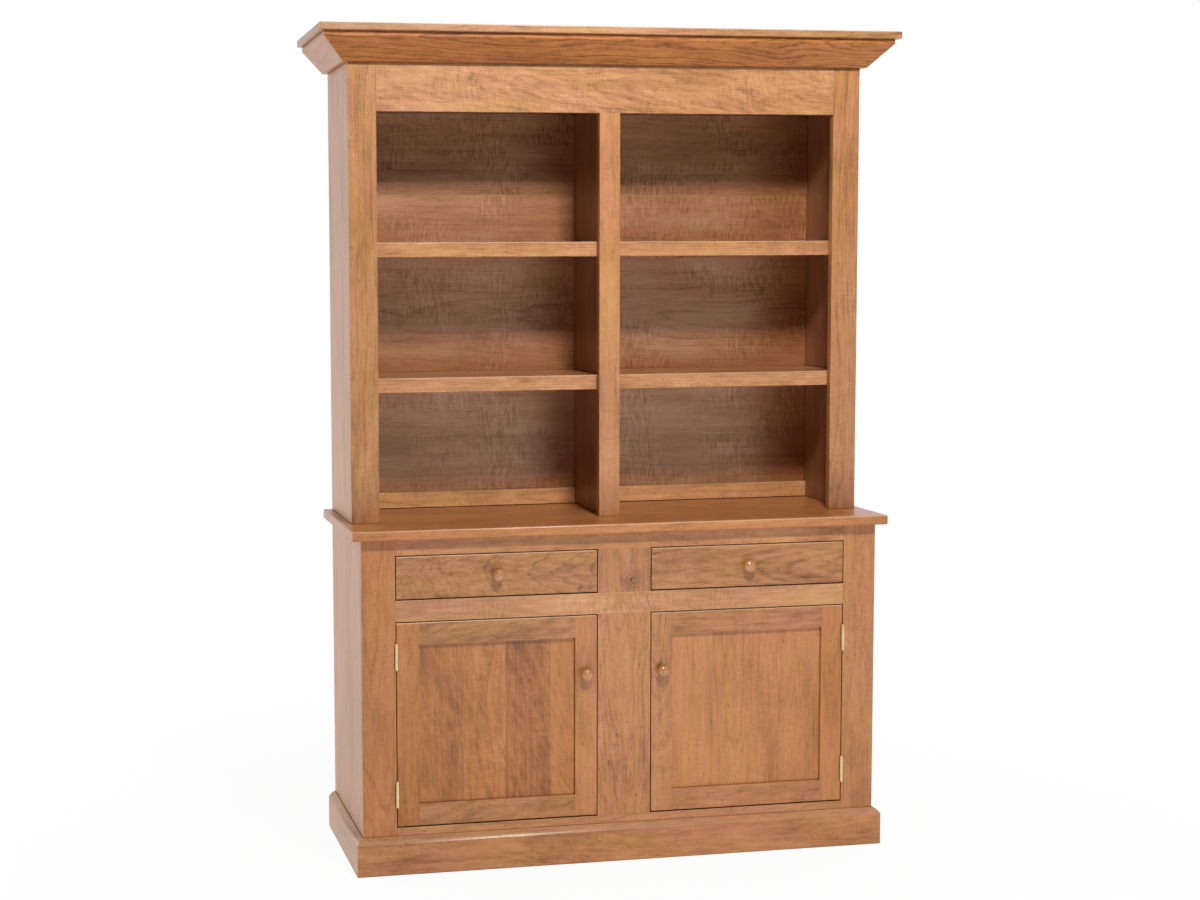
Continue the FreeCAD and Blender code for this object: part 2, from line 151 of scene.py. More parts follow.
# Grain, in metres of wood: lengths of what it shows, along the grain, across the face and into the face
ring_spacing = 0.0062
ring_depth = 0.085
warp_reach = 0.018
warp_size = (0.40, 0.12, 0.12)
jitter_reach = 0.0028
jitter_size = (0.060, 0.016, 0.016)
streak_size = (0.34, 0.011, 0.011)
cloud_size = (0.26, 0.075, 0.075)
mottle_size = (0.050, 0.014, 0.014)
blush_size = (0.22, 0.060, 0.060)
fibre_size = (0.040, 0.0032, 0.0032)
pore_size = (0.0060, 0.00030, 0.00030)
curl_size = (0.0066, 0.034, 0.034)
curl_drift = 0.05
patch_size = (0.16, 0.13, 0.13)
fleck_size = (0.014, 0.0034, 0.0034)
dash_size = (0.0075, 0.0020, 0.0020)
grain_relief = 0.00012

# How far apart boards, and the strips of a glued panel, lie in the noise, and how far a strip's pith moves
seed_step = (1.37, 0.71, 2.13)
strip_step = (7.0, 3.1, 5.3)
strip_drift = (0.0, 0.06, 0.03)

# Noise: its octaves, and how strong the finer ones are
soft_detail = 1.0
plain_detail = 2.0
rich_detail = 3.0
plain_roughness = 0.5
cloud_roughness = 0.55
lively_roughness = 0.6

# How far each part of the grain moves the tone between dark and pale, and how strong marks are
middle_share = 0.5
ring_share = 0.17
streak_share = 0.15
cloud_share = 0.36
mottle_share = 0.12
fibre_share = 0.22
curl_share = 0.12
strip_share = 0.50
pore_share = 0.18
fleck_share = 0.75

# Late wood across one ring, as pairs of a place and a strength, and where in the noise marks fade in
ring_shares = ((0.0, 0.4), (0.12, 0.0), (0.62, 0.18), (0.86, 1.0), (1.0, 0.4))
figure_fade_shares = (0.42, 0.62)
pore_fade_shares = (0.60, 0.70)
gum_fade_shares = (0.675, 0.75)
dash_fade_shares = (0.43, 0.58)
area_fade_shares = (0.3, 0.7)

# Arrises between a front and a top, with a painted highlight and a smoother finish, which fade in as a face
# leans both to the top and to the front
arris_lean_shares = (0.12, 0.55)
arris_highlight_share = 0.7
arris_smooth_share = 0.10
arris_highlight_colour = (240, 200, 164)

# Painted shade in gaps and inside corners, from ambient occlusion, which fades out as they open
gap_reach = 0.006
gap_samples = 4
gap_open_shares = (0.40, 0.66)
gap_shade_tint = (0.20, 0.10, 0.06)

# Lacquer
lacquer_roughness = 0.33
lacquer_shine = 0.45
lacquer_ior = 1.5
sheen_swing_share = 0.08
relief_share = 0.5

# Brass
brass_dull = (232, 206, 152)
brass_bright = (252, 234, 190)
brass_fade_shares = (0.25, 0.75)
brass_mark_size = (0.0004, 0.0004, 0.012)
brass_tarnish_size = (0.012, 0.012, 0.018)
brass_relief = 0.00004
brass_roughness = 0.30
brass_roughness_swing = 0.2

# Turned knobs
knob_tenon_share = 10 / 33
knob_neck_share = 17 / 33
knob_rim_reach_share = 17 / 28
knob_rim_round_share = 5 / 33
knob_turns = 96
knob_arc_steps = 12

# A board's pith, across its face and behind it, and a knot: its place along and across, and its reach
near_pith = 0.012
off_pith = 0.05
far_pith = 0.06
far_ring_depth = 0.165
mullion_knot = (-0.026, 0.018, 0.042)

# What wood is like unless a board says otherwise, as multiples of the grain's parts, and its finish
plain_look = dict(tint=plain, colours=(cherry_dark, cherry_mid, cherry_pale), rings=1.0, spread=1.0,
                  warp=1.0, curl=1.0, clouds=1.0, mottle=1.0, slant_radians=0.0, flecks=1.0, blush=1.0,
                  rub=1.0, inward_side=0, tilt_degrees=(1.2, 1.5), pith=0.0, depth=ring_depth, knot=None,
                  strip_shares=None, roughness=lacquer_roughness, shine=lacquer_shine, shine_tint=plain,
                  shimmer=0.0, ior=lacquer_ior)
inside_look = dict(colours=(inside_dark, inside_mid, inside_pale), flecks=0.2, blush=0.3)
knob_look = dict(grain=Y, face=X, tint=pale, flecks=0.3, rub=0.0, roughness=0.20, shine=1.0)

# Each board: its grain, its face, and what is its own in the wood
cherry_boards = {
    "base_left_side": dict(grain=Z, face=X, tint=amber,
                           strip_shares=[(0.0, 0.55), (0.27, 0.42), (0.52, 0.6), (0.78, 0.48)]),
    "base_right_side": dict(grain=Z, face=X,
                            strip_shares=[(0.0, 0.5), (0.22, 0.6), (0.5, 0.42), (0.76, 0.55)]),
    "base_left_stile": dict(grain=Z, face=Y, tint=orange, rings=1.5, mottle=1.4, pith=near_pith,
                            tilt_degrees=(1.2, 2.4)),
    "base_right_stile": dict(grain=Z, face=Y, rings=0.8, mottle=1.8, pith=far_pith),
    "base_top_rail": dict(grain=X, face=Y, clouds=1.3, mottle=2.6),
    "base_middle_rail": dict(grain=X, face=Y, tint=pale_with_sheen, rings=0.8, curl=2.6, mottle=1.4),
    "base_bottom_rail": dict(grain=X, face=Y, tint=pale, mottle=1.6, rub=0.4),
    "drawer_mullion": dict(grain=Z, face=Y, tint=umber_and_shade, mottle=2.4, flecks=1.3, knot=mullion_knot),
    "door_mullion": dict(grain=Z, face=Y, rings=1.3, warp=1.4, mottle=2.2, flecks=1.3,
                         tilt_degrees=(1.0, 4.0)),
    "plinth_front": dict(grain=X, face=Y, clouds=1.3, mottle=2.2, rub=0.3),
    "plinth_returns": dict(grain=Y, face=X, tint=pale),
    "counter_top": dict(grain=X, face=Z, tint=orange, rings=1.6, mottle=2.6, roughness=0.30,
                        strip_shares=[(0.0, 0.5), (0.3, 0.62), (0.62, 0.42)]),
    "hutch_left_side": dict(grain=Z, face=X, tint=amber, inward_side=1,
                            strip_shares=[(0.0, 0.5), (0.35, 0.6), (0.68, 0.45)]),
    "hutch_right_side": dict(grain=Z, face=X, inward_side=-1,
                             strip_shares=[(0.0, 0.55), (0.3, 0.45), (0.7, 0.6)]),
    "hutch_divider": dict(grain=Z, face=X, tint=shaded),
    "hutch_top": dict(grain=X, face=Z, tint=deep_shade),
    "hutch_back": dict(grain=X, face=Y, tint=back_shade_dusk, colours=(cherry_dark, cherry_mid, cherry_sheen_grey),
                       rings=1.2, curl=3.4, roughness=0.37, shine=0.55, shine_tint=back_shine_tint,
                       shimmer=0.7, ior=2.2,
                       # Glued boards whose tones grow darker towards the top, a painted shade at the top of
                       # the bays
                       strip_shares=[(0.0, 0.60), (0.34, 0.52), (0.62, 0.48), (0.78, 0.32)]),
    "hutch_back_rails": dict(grain=X, face=Y, tint=rail_light_cream),
    "hutch_left_stile": dict(grain=Z, face=Y, tint=blond, rings=1.2, mottle=2.2, pith=off_pith),
    "hutch_right_stile": dict(grain=Z, face=Y, tint=blond, rings=1.2, mottle=1.8, pith=off_pith),
    "hutch_centre_stile": dict(grain=Z, face=Y, tint=pale, rings=0.8),
    "hutch_header": dict(grain=X, face=Y, tint=header_sheen_milky, rings=1.1, warp=1.6, curl=2.2, mottle=2.9,
                         slant_radians=0.3, tilt_degrees=(1.5, 3.0),
                         strip_shares=[(0.0, 0.44), (0.6, 0.60)]),
    "hutch_shelves": dict(grain=X, face=Z, tint=umber_and_shade),
    "shelf_nosings": dict(grain=X, face=Y, tint=pale_with_sheen, rings=1.6, mottle=2.8, flecks=1.2),
    "crown_front": dict(grain=X, face=Y, tint=rust, rings=3.6, warp=1.6, mottle=3.0),
    "crown_returns": dict(grain=Y, face=X),
    "crown_cap": dict(grain=X, face=Z, tint=cap_sheen_rose, rings=1.6, mottle=2.4),
    "left_drawer_front": dict(grain=X, face=Y, tint=olive, rings=1.8, warp=2.0, mottle=4.0,
                              tilt_degrees=(2.0, 16.0), pith=near_pith, depth=far_ring_depth),
    "right_drawer_front": dict(grain=X, face=Y, tint=olive, rings=2.0, spread=1.4, mottle=4.0,
                               tilt_degrees=(1.0, 3.0)),
    "left_door_hinge_stile": dict(grain=Z, face=Y, tint=russet, mottle=1.4),
    "left_door_meeting_stile": dict(grain=Z, face=Y, tint=amber),
    "left_door_rails": dict(grain=X, face=Y, tint=olive, mottle=4.0, slant_radians=-0.25),
    "left_door_panel": dict(grain=Z, face=Y, tint=russet, curl=1.4, mottle=2.6, slant_radians=0.4,
                            strip_shares=[(0.0, 0.28), (0.29, 0.54), (0.55, 0.12), (0.83, 0.58)]),
    "right_door_hinge_stile": dict(grain=Z, face=Y, tint=orange),
    "right_door_meeting_stile": dict(grain=Z, face=Y, tint=brown, rings=1.7, spread=1.3, warp=1.6,
                                     mottle=1.6, tilt_degrees=(2.0, 5.0)),
    "right_door_rails": dict(grain=X, face=Y, tint=brown, mottle=3.0),
    "right_door_panel": dict(grain=Z, face=Y, tint=amber,
                             strip_shares=[(0.0, 0.5), (0.35, 0.58), (0.7, 0.52)]),
}
inside_boards = {
    "base_partition": dict(grain=Z, face=X),
    "base_floor": dict(grain=X, face=Z),
    "base_back": dict(grain=Z, face=Y),
    "drawer_decks": dict(grain=X, face=Z),
    "drawer_runners": dict(grain=Y, face=X),
    "door_stops": dict(grain=Z, face=Y),
}
for side in ("left", "right"):
    inside_boards[f"{side}_drawer_sides"] = dict(grain=Y, face=X)
    inside_boards[f"{side}_drawer_back"] = dict(grain=X, face=Y)
    inside_boards[f"{side}_drawer_bottom"] = dict(grain=X, face=Z)
brass_pieces = ("hinge_frame_leaves", "hinge_pins", "left_door_hinge_leaves", "right_door_hinge_leaves")

# Sockets of a mix node that blends colours
mix_factor, mix_first, mix_second, mix_result = 0, 6, 7, 2


def across_axis(grain, face):
    """The axis across a board's face."""
    return X + Y + Z - grain - face


def opaque(colour):
    return (*colour, 1.0)


def srgb(colour):
    """A screen colour as the linear colour that a shader takes."""
    return opaque(Color([value / screen_white for value in colour]).from_srgb_to_scene_linear())


def add(tree, kind, inputs=(), **settings):
    """A new node with its own settings. Inputs pair a socket with a value or another node's output."""
    node = tree.nodes.new(kind)
    for key, value in settings.items():
        setattr(node, key, value)
    for key, value in inputs:
        if isinstance(value, bpy.types.NodeSocket):
            tree.links.new(value, node.inputs[key])
        else:
            node.inputs[key].default_value = value
    return node


def maths(tree, operation, *values):
    return add(tree, "ShaderNodeMath", enumerate(values), operation=operation).outputs[0]


def vectors(tree, operation, *values):
    node = add(tree, "ShaderNodeVectorMath", enumerate(values), operation=operation)
    return node.outputs["Value" if operation == "LENGTH" else "Vector"]


def mix(tree, blend, factor, first, second):
    inputs = [(mix_factor, factor), (mix_first, first), (mix_second, second)]
    return add(tree, "ShaderNodeMix", inputs, data_type="RGBA", blend_type=blend).outputs[mix_result]


def noise(tree, place, size, detail, roughness=plain_roughness):
    """Noise whose lumps are about as large as size."""
    spread = vectors(tree, "MULTIPLY", place, [1 / length for length in size])
    inputs = [("Vector", spread), ("Scale", 1.0), ("Detail", detail), ("Roughness", roughness)]
    return add(tree, "ShaderNodeTexNoise", inputs, noise_dimensions="3D")


def ramp(tree, factor, stops, interpolation="LINEAR"):
    """A colour ramp over stops of a place from 0 to 1 and a colour or a grey share."""
    node = add(tree, "ShaderNodeValToRGB", [("Fac", factor)])
    node.color_ramp.interpolation = interpolation
    elements = node.color_ramp.elements
    while len(elements) < len(stops):
        elements.new(1.0)
    for element, (place, colour) in zip(elements, stops):
        element.position = place
        element.color = colour if isinstance(colour, tuple) else opaque((colour, colour, colour))
    return node.outputs["Color"]


def fade(tree, factor, shares, first=0.0, second=1.0):
    """A ramp from one colour or grey share to another, between two shares."""
    return ramp(tree, factor, list(zip(shares, (first, second))))


def map_range(tree, value, start, end, low=0.0, high=1.0, easing="LINEAR"):
    """A value from start to end brought to between low and high."""
    inputs = [("Value", value), ("From Min", start), ("From Max", end), ("To Min", low), ("To Max", high)]
    return add(tree, "ShaderNodeMapRange", inputs, interpolation_type=easing).outputs[0]


def swing(tree, value, share):
    """A value from 0 to 1, as a change of tone of that share to either side."""
    return maths(tree, "MULTIPLY_ADD", value, 2 * share, -share)


def emboss(tree, shader, height, depth):
    """Gives a shader a fine relief."""
    inputs = [("Height", height), ("Distance", depth), ("Strength", relief_share)]
    tree.links.new(add(tree, "ShaderNodeBump", inputs).outputs[0], shader.inputs["Normal"])


def new_material(name):
    """A material with an empty principled shader."""
    material = bpy.data.materials.new(name)
    material.use_nodes = True
    return material, material.node_tree, material.node_tree.nodes["Principled BSDF"]


def palette(colours, tint):
    """Ramp stops from dark to pale, with red, green and blue made stronger or weaker by tint."""
    linear = [[value * share for value, share in zip(srgb(colour), tint)] for colour in colours]
    return [(i / (len(colours) - 1), opaque(colour)) for i, colour in enumerate(linear)]


def board_place(tree, centre, order):
    """Where a point lies in its board, from the middle: along the grain, across the face, into the face."""
    spot = add(tree, "ShaderNodeTexCoord").outputs["Object"]
    spot = vectors(tree, "SUBTRACT", spot, centre)
    parts = add(tree, "ShaderNodeSeparateXYZ", [(0, spot)]).outputs
    return add(tree, "ShaderNodeCombineXYZ", [(i, parts[axis]) for i, axis in enumerate(order)]).outputs[0]


def facing(tree):
    """Which way a face of the model looks, as parts along X, Y and Z."""
    way = add(tree, "ShaderNodeTexCoord").outputs["Normal"]
    return add(tree, "ShaderNodeSeparateXYZ", [(0, way)]).outputs


def glued(tree, place, seeded, span, strip_shares):
    """A panel's places shifted strip by strip, so that each has its own grain, and each strip's tone."""
    across = add(tree, "ShaderNodeSeparateXYZ", [(0, place)]).outputs[1]
    tone = ramp(tree, maths(tree, "MULTIPLY_ADD", across, 1 / span, middle_share), strip_shares, "CONSTANT")
    seeded = vectors(tree, "ADD", seeded, vectors(tree, "MULTIPLY", tone, strip_step))
    place = vectors(tree, "ADD", place, vectors(tree, "MULTIPLY", tone, strip_drift))
    return place, seeded, maths(tree, "MULTIPLY_ADD", tone, strip_share, middle_share - strip_share / 2)


def shaken(tree, place, seeded, size, reach, detail):
    """Places moved across the grain by noise, at most by about reach."""
    drift = noise(tree, seeded, size, detail).outputs["Color"]
    drift = vectors(tree, "SUBTRACT", drift, [middle_share, middle_share, middle_share])
    return vectors(tree, "ADD", place, vectors(tree, "MULTIPLY", drift, [0.0, 2 * reach, 2 * reach]))


def growth_rings(tree, place, look):
    """Late wood, from 0 to 1, in rings about a pith that lies behind the face and leans along it."""
    turn = (0.0, radians(look.tilt_degrees[1]), radians(look.tilt_degrees[0]))
    inputs = [("Vector", place), ("Rotation", turn), ("Location", (0.0, look.pith, look.depth))]
    trunk = add(tree, "ShaderNodeMapping", inputs, vector_type="POINT").outputs[0]
    radius = vectors(tree, "LENGTH", vectors(tree, "MULTIPLY", trunk, [0.0, 1.0, 1.0]))
    phase = maths(tree, "DIVIDE", radius, look.spread * ring_spacing)
    line = ramp(tree, maths(tree, "FRACT", phase), ring_shares)
    year = add(tree, "ShaderNodeTexWhiteNoise", [("W", maths(tree, "FLOOR", phase))], noise_dimensions="1D")
    return maths(tree, "MULTIPLY", line, year.outputs["Value"])


def knotted(tree, place, knot):
    """1 at a knot's middle, fading to 0 at its reach."""
    along, across, reach = knot
    apart = vectors(tree, "SUBTRACT", place, [along, across, 0.0])
    apart = vectors(tree, "LENGTH", vectors(tree, "MULTIPLY", apart, [1.0, 1.0, 0.0]))
    return map_range(tree, apart, 0.0, reach, 1.0, 0.0, "SMOOTHSTEP")


def top_front_arris(tree):
    """1 on arrises between a front and a top, which get a painted highlight and a smoother finish, and 0
    elsewhere.
    """
    way = facing(tree)
    low, high = arris_lean_shares
    up = map_range(tree, way["Z"], low, high)
    front = map_range(tree, way["Y"], -low, -high)
    return maths(tree, "MULTIPLY", up, front)


def inward(tree, side):
    """1 on a hutch side's inner face, and 0 elsewhere: side is 1 for the left one, -1 for the right."""
    return maths(tree, "MAXIMUM", maths(tree, "MULTIPLY", facing(tree)["X"], side), 0.0)


def open_share(tree):
    """0 in narrow gaps and inside corners, where shade is painted, and 1 on open faces."""
    inputs = [("Distance", gap_reach)]
    sky = add(tree, "ShaderNodeAmbientOcclusion", inputs, samples=gap_samples).outputs["AO"]
    return map_range(tree, sky, *gap_open_shares)


def toned(tree, place, seeded, base, fibre, look):
    """Tone from 0, dark, to 1, pale: growth rings, streaks, clouds, mottles, fibres and patches of curl."""
    bent = shaken(tree, place, seeded, warp_size, look.warp * warp_reach, soft_detail)
    bent = shaken(tree, bent, seeded, jitter_size, look.warp * jitter_reach, plain_detail)
    late = growth_rings(tree, bent, look)
    wavy = shaken(tree, seeded, seeded, warp_size, warp_reach, soft_detail)
    streaks = noise(tree, wavy, streak_size, rich_detail, lively_roughness).outputs["Fac"]
    clouds = noise(tree, seeded, cloud_size, rich_detail, cloud_roughness).outputs["Fac"]
    inputs = [("Vector", seeded), ("Rotation", (0.0, 0.0, look.slant_radians))]
    lean = add(tree, "ShaderNodeMapping", inputs).outputs[0]
    mottles = noise(tree, lean, mottle_size, rich_detail, lively_roughness).outputs["Fac"]
    patch = noise(tree, seeded, patch_size, soft_detail)
    drift = vectors(tree, "MULTIPLY", patch.outputs["Color"], [curl_drift, 0.0, 0.0])
    ripple = noise(tree, vectors(tree, "ADD", seeded, drift), curl_size, soft_detail).outputs["Fac"]
    figured = fade(tree, patch.outputs["Fac"], figure_fade_shares)

    level = maths(tree, "MULTIPLY_ADD", late, -ring_share * look.rings, base)
    level = maths(tree, "ADD", level, swing(tree, streaks, streak_share))
    level = maths(tree, "ADD", level, swing(tree, clouds, cloud_share * look.clouds))
    level = maths(tree, "ADD", level, swing(tree, mottles, mottle_share * look.mottle))
    level = maths(tree, "ADD", level, swing(tree, fibre, fibre_share))
    curl = maths(tree, "MULTIPLY", figured, swing(tree, ripple, curl_share * look.curl))
    return maths(tree, "ADD", level, curl)


def marked(tree, colour, place, seeded, pores, look):
    """A wood's colour with greener and rosier areas, gum flecks, a knot where it has one, and pores."""
    warmth = noise(tree, seeded, blush_size, plain_detail).outputs["Fac"]
    areas = fade(tree, warmth, area_fade_shares, opaque(olive_area), opaque(rosy_area))
    colour = mix(tree, "MULTIPLY", look.blush, colour, areas)
    gum = fade(tree, noise(tree, seeded, fleck_size, plain_detail).outputs["Fac"], gum_fade_shares)
    if look.knot:
        dashes = fade(tree, noise(tree, seeded, dash_size, rich_detail).outputs["Fac"], dash_fade_shares)
        gum = maths(tree, "MAXIMUM", gum, maths(tree, "MULTIPLY", dashes, knotted(tree, place, look.knot)))
    flecks = maths(tree, "MULTIPLY", gum, fleck_share * look.flecks)
    colour = mix(tree, "MIX", flecks, colour, srgb(fleck_colour))
    return mix(tree, "MIX", maths(tree, "MULTIPLY", pores, pore_share), colour, srgb(look.colours[0]))


def painted_shade_and_highlight(tree, colour, clear, arris, look):
    """A wood's colour with painted shade in gaps and on the hutch's inner faces, and a painted highlight on
    arrises between a front and a top.
    """
    if look.inward_side:
        colour = mix(tree, "MULTIPLY", inward(tree, look.inward_side), colour, opaque(inner_shade_tint))
    gap_shaded = mix(tree, "MULTIPLY", 1.0, colour, opaque(gap_shade_tint))
    colour = mix(tree, "MIX", clear, gap_shaded, colour)
    return mix(tree, "MIX", maths(tree, "MULTIPLY", arris, arris_highlight_share), colour, srgb(arris_highlight_colour))


def lacquer(tree, shader, level, fibre, clear, arris, look):
    """A satin finish, smoother on arrises between a front and a top, with its shine dimmed in gaps as
    painted shade, that shimmers with the wood's tone.
    """
    sheen = maths(tree, "MULTIPLY_ADD", fibre, 2 * sheen_swing_share, look.roughness - sheen_swing_share)
    sheen = maths(tree, "MULTIPLY_ADD", arris, -arris_smooth_share, sheen)
    tree.links.new(sheen, shader.inputs["Roughness"])
    shimmer = look.shimmer * look.shine
    gleam = maths(tree, "MULTIPLY_ADD", level, 2 * shimmer, look.shine - shimmer)
    tree.links.new(maths(tree, "MULTIPLY", gleam, clear), shader.inputs["Specular IOR Level"])
    shader.inputs["Specular Tint"].default_value = opaque(look.shine_tint)
    shader.inputs["IOR"].default_value = look.ior


def wood(name, centre, seed, span=None, **own):
    """Solid, lacquered wood, whose own look says what differs from the plain one.

    grain and face are the axes that the grain and the face's normal follow. strip_shares are the edge-glued
    boards of a panel, as pairs of a share of span where one starts and its own tone.
    """
    look = SimpleNamespace(**{**plain_look, **own})
    material, tree, shader = new_material(name)
    place = board_place(tree, centre, (look.grain, across_axis(look.grain, look.face), look.face))
    seeded = vectors(tree, "ADD", place, [seed * step for step in seed_step])
    base = middle_share
    if look.strip_shares:
        place, seeded, base = glued(tree, place, seeded, span, look.strip_shares)
    fibre = noise(tree, seeded, fibre_size, rich_detail, lively_roughness).outputs["Fac"]
    pores = fade(tree, noise(tree, seeded, pore_size, soft_detail).outputs["Fac"], pore_fade_shares)
    clear = open_share(tree)
    arris = maths(tree, "MULTIPLY", top_front_arris(tree), look.rub)

    level = toned(tree, place, seeded, base, fibre, look)
    colour = ramp(tree, level, palette(look.colours, look.tint))
    colour = marked(tree, colour, place, seeded, pores, look)
    colour = painted_shade_and_highlight(tree, colour, clear, arris, look)
    tree.links.new(colour, shader.inputs["Base Color"])
    lacquer(tree, shader, level, fibre, clear, arris, look)
    emboss(tree, shader, maths(tree, "SUBTRACT", fibre, pores), grain_relief)
    return material


def brass():
    """Satin brass with fine rubbing marks along the hinges and a little tarnish."""
    material, tree, shader = new_material("brass")
    spot = add(tree, "ShaderNodeTexCoord").outputs["Object"]
    marks = noise(tree, spot, brass_mark_size, plain_detail).outputs["Fac"]
    tarnish = noise(tree, spot, brass_tarnish_size, rich_detail).outputs["Fac"]
    colour = fade(tree, tarnish, brass_fade_shares, srgb(brass_dull), srgb(brass_bright))
    tree.links.new(colour, shader.inputs["Base Color"])
    roughness = maths(tree, "MULTIPLY_ADD", marks, brass_roughness_swing, brass_roughness)
    tree.links.new(roughness, shader.inputs["Roughness"])
    shader.inputs["Metallic"].default_value = 1.0
    emboss(tree, shader, marks, brass_relief)
    return material


def level_edges(name, low, high):
    """A node group that marks the top and bottom edges of a board's front for rounding."""
    group = bpy.data.node_groups.new(name + "_edges", "GeometryNodeTree")
    group.interface.new_socket("Geometry", in_out="INPUT", socket_type="NodeSocketGeometry")
    group.interface.new_socket("Geometry", in_out="OUTPUT", socket_type="NodeSocketGeometry")
    spot = add(group, "GeometryNodeInputPosition").outputs[0]
    parts = add(group, "ShaderNodeSeparateXYZ", [(0, spot)]).outputs
    in_front = maths(group, "LESS_THAN", parts["Y"], low.y + weld_gap)
    at_top = maths(group, "GREATER_THAN", parts["Z"], high.z - weld_gap)
    at_bottom = maths(group, "LESS_THAN", parts["Z"], low.z + weld_gap)
    marks = maths(group, "MULTIPLY", in_front, maths(group, "MAXIMUM", at_top, at_bottom))
    board = add(group, "NodeGroupInput").outputs[0]
    inputs = [("Geometry", board), ("Name", "bevel_weight_edge"), ("Value", marks)]
    edges = add(group, "GeometryNodeStoreNamedAttribute", inputs, data_type="FLOAT", domain="EDGE")
    add(group, "NodeGroupOutput", [(0, edges.outputs[0])])
    return group


def ease(piece, width, steps, marks=None):
    """Rounds a board's sharp edges, or only the edges that a node group marks, so that they catch light."""
    weld = piece.modifiers.new("weld", "WELD")
    weld.merge_threshold = weld_gap
    if marks:
        flat = piece.modifiers.new("whole_faces", "DECIMATE")
        flat.decimate_type = "DISSOLVE"
        flat.angle_limit = radians(flat_degrees)
        piece.modifiers.new("marked_edges", "NODES").node_group = marks
    bevel = piece.modifiers.new("eased_edges", "BEVEL")
    bevel.width = width
    bevel.segments = steps
    bevel.limit_method = "WEIGHT" if marks else "ANGLE"
    bevel.angle_limit = radians(sharp_degrees)
    bevel.harden_normals = True


def dress(name, seed, look):
    """Gives a board of the frame its own wood and eased edges."""
    low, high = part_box(name)
    centre = [(a + b) / 2 for a, b in zip(low, high)]
    across = across_axis(look["grain"], look["face"])
    board = nodes[name]
    board.data.materials.clear()
    board.data.materials.append(wood(name, centre, seed, high[across] - low[across], **look))
    if name.endswith(front_boards):
        ease(board, front_ease, front_ease_steps, level_edges(name, low, high))
    else:
        ease(board, bold_eases.get(name, board_ease), ease_steps)


def dress_boards():
    for seed, (name, look) in enumerate(cherry_boards.items()):
        dress(name, seed, look)
    for seed, (name, look) in enumerate(inside_boards.items(), len(cherry_boards)):
        dress(name, seed, {**inside_look, **look})


def dress_hinges():
    metal = brass()
    for name in brass_pieces:
        nodes[name].data.materials.clear()
        nodes[name].data.materials.append(metal)


def arc(centre, radius, start, end):
    """Points along an arc, as distances from a knob's axis and from the face it stands on."""
    turns = [start + (end - start) * i / knob_arc_steps for i in range(knob_arc_steps + 1)]
    return [(centre[0] + radius * cos(turn), centre[1] + radius * sin(turn)) for turn in turns]


def knob_outline(rim, reach, depth):
    """A knob's outline from its tenon to its tip: a tenon, a coved neck, a rounded rim and a domed face."""
    tenon = rim * knob_tenon_share
    neck = rim * knob_neck_share
    rim_reach = reach * knob_rim_reach_share
    rim_round = 2 * rim * knob_rim_round_share
    cove = (rim_reach ** 2 / (rim - neck) + rim - neck) / 2
    flare = arc((neck + cove, 0), cove, pi, pi - asin(rim_reach / cove))
    shoulder = rim - rim_round
    rise = reach - rim_reach
    dome = (shoulder ** 2 + rise ** 2 - rim_round ** 2) / (rise - rim_round) / 2
    meet = atan2(rim_reach - reach + dome, shoulder)
    edge = arc((shoulder, rim_reach), rim_round, 0, meet)
    crown = arc((0, reach - dome), dome, meet, pi / 2)
    return [(0, -depth), (tenon, -depth), (tenon, 0)] + flare[:-1] + edge[:-1] + crown


def knob(name, body, carrier, seed):
    """A turned knob in the place of the frame's faceted one."""
    low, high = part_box(name)
    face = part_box(carrier)[0].y
    middle = Vector(((low.x + high.x) / 2, face, (low.z + high.z) / 2))
    outline = knob_outline((high.x - low.x) / 2, face - low.y, high.y - face)
    mesh = bmesh.new()
    spots = [mesh.verts.new((radius, -out, 0)) for radius, out in outline]
    edges = [mesh.edges.new(two) for two in zip(spots, spots[1:])]
    bmesh.ops.spin(mesh, geom=spots + edges, cent=(0, 0, 0), axis=(0, 1, 0), angle=2 * pi, steps=knob_turns)
    bmesh.ops.remove_doubles(mesh, verts=mesh.verts, dist=weld_gap)
    bmesh.ops.recalc_face_normals(mesh, faces=mesh.faces)
    for polygon in mesh.faces:
        polygon.smooth = True
    for ring in mesh.edges:
        ring.smooth = ring.calc_face_angle(0) < radians(sharp_degrees)
    bmesh.ops.translate(mesh, verts=mesh.verts, vec=middle)
    data = bpy.data.meshes.new(name + "_turned")
    mesh.to_mesh(data)
    mesh.free()
    piece = bpy.data.objects.new(name + "_turned", data)
    bpy.context.scene.collection.objects.link(piece)
    data.materials.append(wood(name + "_turned", middle, seed, **knob_look))
    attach(piece, body)
    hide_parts(name)


def turn_knobs():
    seed = len(cherry_boards) + len(inside_boards)
    for side in ("left", "right"):
        knob(f"{side}_drawer_knob", f"{side}_drawer", f"{side}_drawer_front", seed)
        knob(f"{side}_door_knob", f"{side}_door", f"{side}_door_meeting_stile", seed + 1)
        seed += 2


def look_from(thing, place, aim, roll=0.0):
    """Puts a camera or a lamp in its place, turned towards what it is aimed at."""
    turn = (Vector(aim) - Vector(place)).to_track_quat("-Z", "Y").to_matrix().to_4x4()
    thing.matrix_world = Matrix.Translation(place) @ turn @ Matrix.Rotation(roll, 4, "Z")


def set_camera():
    data = bpy.data.cameras.new("camera")
    data.lens = lens_length
    data.sensor_width = sensor_width
    data.shift_x, data.shift_y = frame_shift_shares
    camera = bpy.data.objects.new("camera", data)
    bpy.context.scene.collection.objects.link(camera)
    look_from(camera, camera_place, camera_aim, radians(camera_roll_degrees))
    bpy.context.scene.camera = camera


def lamp(name, place, aim, size, power):
    """A rectangular lamp, which lights things but isn't seen itself."""
    data = bpy.data.lights.new(name, "AREA")
    data.shape = "RECTANGLE"
    data.size, data.size_y = size
    data.energy = power
    made = bpy.data.objects.new(name, data)
    made.visible_camera = False
    bpy.context.scene.collection.objects.link(made)
    look_from(made, place, aim)
    return made


